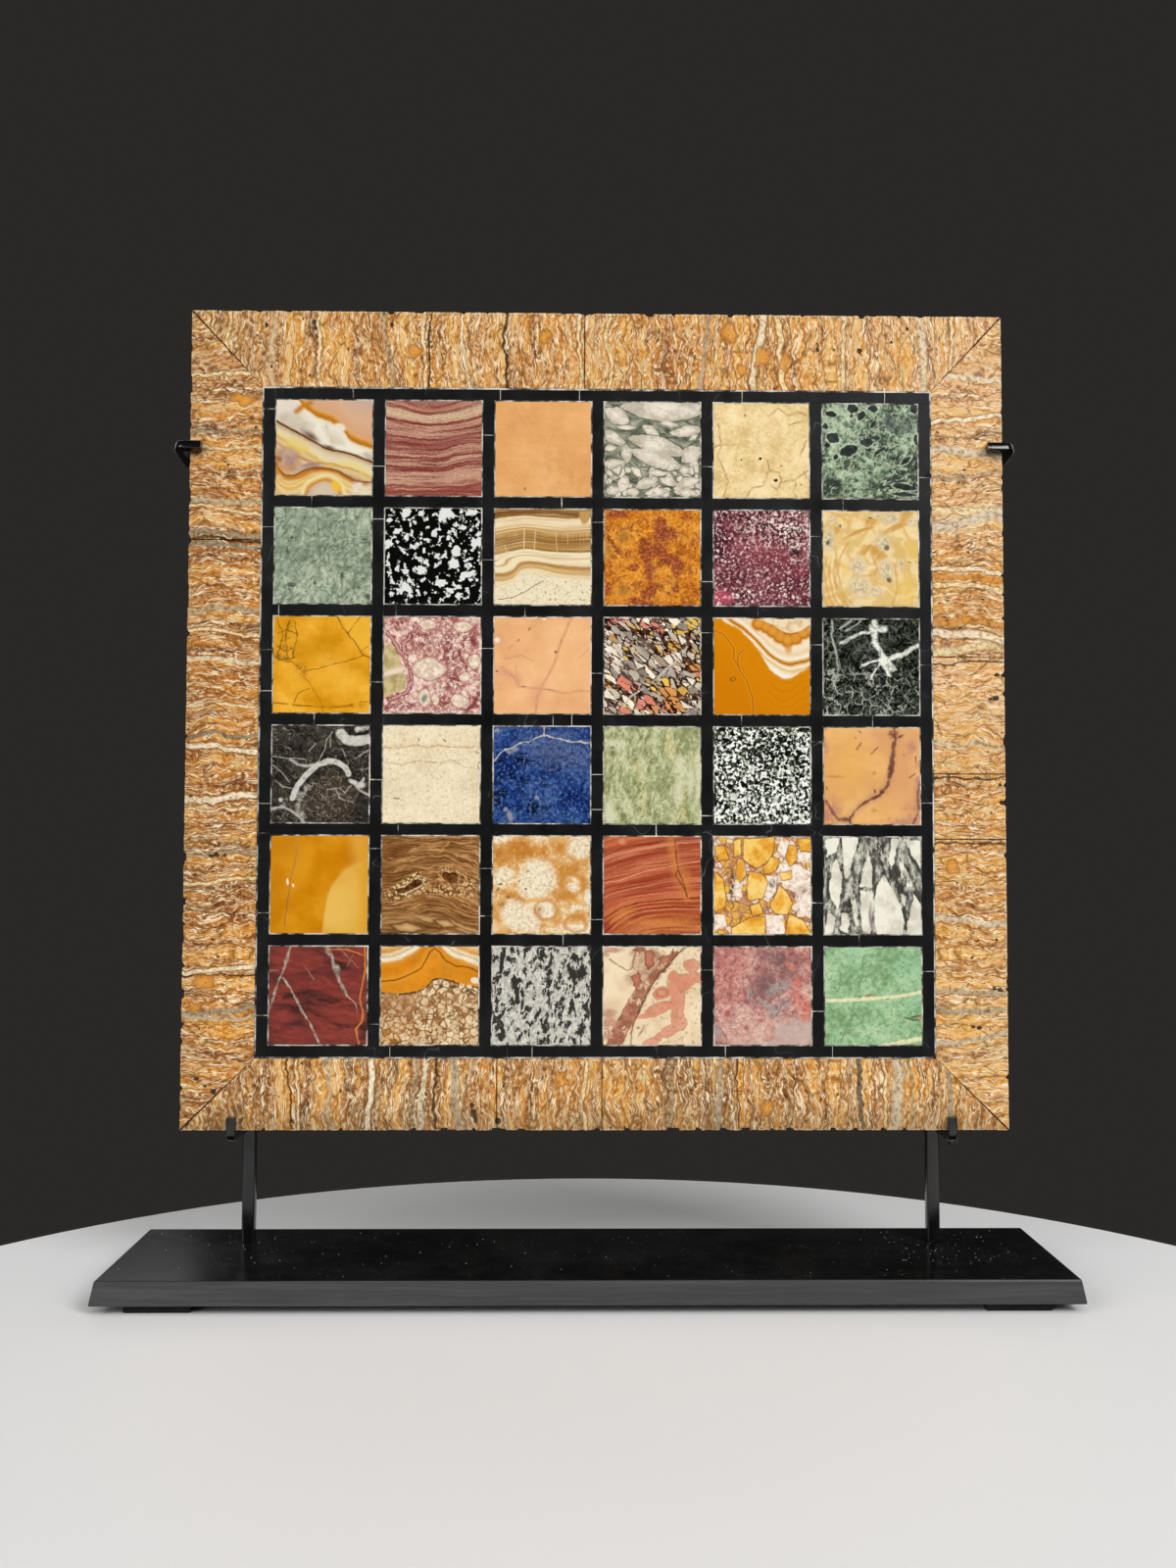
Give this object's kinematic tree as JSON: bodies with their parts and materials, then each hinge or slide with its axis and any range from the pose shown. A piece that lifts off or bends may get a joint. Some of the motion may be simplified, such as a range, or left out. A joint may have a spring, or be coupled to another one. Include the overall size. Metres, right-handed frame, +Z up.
{
  "type": "marble specimen tablet on a display stand",
  "caption": "Square slab with a flush mosaic of square stone specimens between black strips, in a banded travertine frame, held by clips on a black metal stand.",
  "frame": {"origin": "middle of the base's footprint, at the underside of the pads it stands on", "axes": "+X to the viewer's right along the base, +Y from the tablet's face towards its back, +Z up"},
  "size_m": [0.3358, 0.0658, 0.3544],
  "materials": {
    "banded_travertine": "honed, satin",
    "black_marble": "honed, satin",
    "slab_stone": "sawn, matt",
    "black_paint": "satin",
    "rubber": "matt",
    "banded_agate": "polished, satin",
    "wine_banded_onyx": "polished, satin",
    "peach_limestone": "polished, satin",
    "grey_clast_breccia": "polished, satin",
    "cream_cracked_limestone": "polished, satin",
    "dark_green_serpentine": "polished, satin",
    "sage_green_marble": "polished, satin",
    "black_white_porphyry": "polished, satin",
    "brown_striped_onyx": "polished, satin",
    "amber_mottled_jasper": "polished, satin",
    "purple_porphyry": "polished, satin",
    "cream_swirled_alabaster": "polished, satin",
    "yellow_marble": "polished, satin",
    "rose_veined_marble": "polished, satin",
    "peach_veined_marble": "polished, satin",
    "many_coloured_breccia": "polished, satin",
    "amber_banded_onyx": "polished, satin",
    "black_green_veined_marble": "polished, satin",
    "black_fossil_marble": "polished, satin",
    "ivory_limestone": "polished, satin",
    "lapis_lazuli": "polished, satin",
    "pale_green_alabaster": "polished, satin",
    "speckled_granite": "polished, satin",
    "peach_purple_veined_marble": "polished, satin",
    "honey_alabaster": "polished, satin",
    "brown_cavity_onyx": "polished, satin",
    "white_orange_alabaster": "polished, satin",
    "red_striped_jasper": "polished, satin",
    "yellow_breccia": "polished, satin",
    "white_grey_veined_marble": "polished, satin",
    "dark_red_jasper": "polished, satin",
    "orange_pebbled_onyx": "polished, satin",
    "white_flecked_granite": "polished, satin",
    "cream_rose_breccia": "polished, satin",
    "rose_violet_marble": "polished, satin",
    "mint_green_marble": "polished, satin"
  },
  "bodies": {
    "root": {"back_left_pad": "rubber", "back_right_pad": "rubber", "front_left_pad": "rubber", "front_right_pad": "rubber", "backing_slab": "slab_stone", "base_plate": "black_paint", "left_upright": "black_paint", "right_upright": "black_paint", "black_marble_strips": "black_marble", "top_rail_1": "banded_travertine", "top_rail_2": "banded_travertine", "bottom_rail_1": "banded_travertine", "bottom_rail_2": "banded_travertine", "bottom_rail_3": "banded_travertine", "left_rail_1": "banded_travertine", "left_rail_2": "banded_travertine", "right_rail_1": "banded_travertine", "right_rail_2": "banded_travertine", "right_rail_3": "banded_travertine", "right_rail_4": "banded_travertine", "specimen_r1c1_banded_agate": "banded_agate", "specimen_r1c2_wine_banded_onyx": "wine_banded_onyx", "specimen_r1c3_peach_limestone": "peach_limestone", "specimen_r1c4_grey_clast_breccia": "grey_clast_breccia", "specimen_r1c5_cream_cracked_limestone": "cream_cracked_limestone", "specimen_r1c6_dark_green_serpentine": "dark_green_serpentine", "specimen_r2c1_sage_green_marble": "sage_green_marble", "specimen_r2c2_black_white_porphyry": "black_white_porphyry", "specimen_r2c3_brown_striped_onyx": "brown_striped_onyx", "specimen_r2c4_amber_mottled_jasper": "amber_mottled_jasper", "specimen_r2c5_purple_porphyry": "purple_porphyry", "specimen_r2c6_cream_swirled_alabaster": "cream_swirled_alabaster", "specimen_r3c1_yellow_marble": "yellow_marble", "specimen_r3c2_rose_veined_marble": "rose_veined_marble", "specimen_r3c3_peach_veined_marble": "peach_veined_marble", "specimen_r3c4_many_coloured_breccia": "many_coloured_breccia", "specimen_r3c5_amber_banded_onyx": "amber_banded_onyx", "specimen_r3c6_black_green_veined_marble": "black_green_veined_marble", "specimen_r4c1_black_fossil_marble": "black_fossil_marble", "specimen_r4c2_ivory_limestone": "ivory_limestone", "specimen_r4c3_lapis_lazuli": "lapis_lazuli", "specimen_r4c4_pale_green_alabaster": "pale_green_alabaster", "specimen_r4c5_speckled_granite": "speckled_granite", "specimen_r4c6_peach_purple_veined_marble": "peach_purple_veined_marble", "specimen_r5c1_honey_alabaster": "honey_alabaster", "specimen_r5c2_brown_cavity_onyx": "brown_cavity_onyx", "specimen_r5c3_white_orange_alabaster": "white_orange_alabaster", "specimen_r5c4_red_striped_jasper": "red_striped_jasper", "specimen_r5c5_yellow_breccia": "yellow_breccia", "specimen_r5c6_white_grey_veined_marble": "white_grey_veined_marble", "specimen_r6c1_dark_red_jasper": "dark_red_jasper", "specimen_r6c2_orange_pebbled_onyx": "orange_pebbled_onyx", "specimen_r6c3_white_flecked_granite": "white_flecked_granite", "specimen_r6c4_cream_rose_breccia": "cream_rose_breccia", "specimen_r6c5_rose_violet_marble": "rose_violet_marble", "specimen_r6c6_mint_green_marble": "mint_green_marble"}
  },
  "joints": []
}
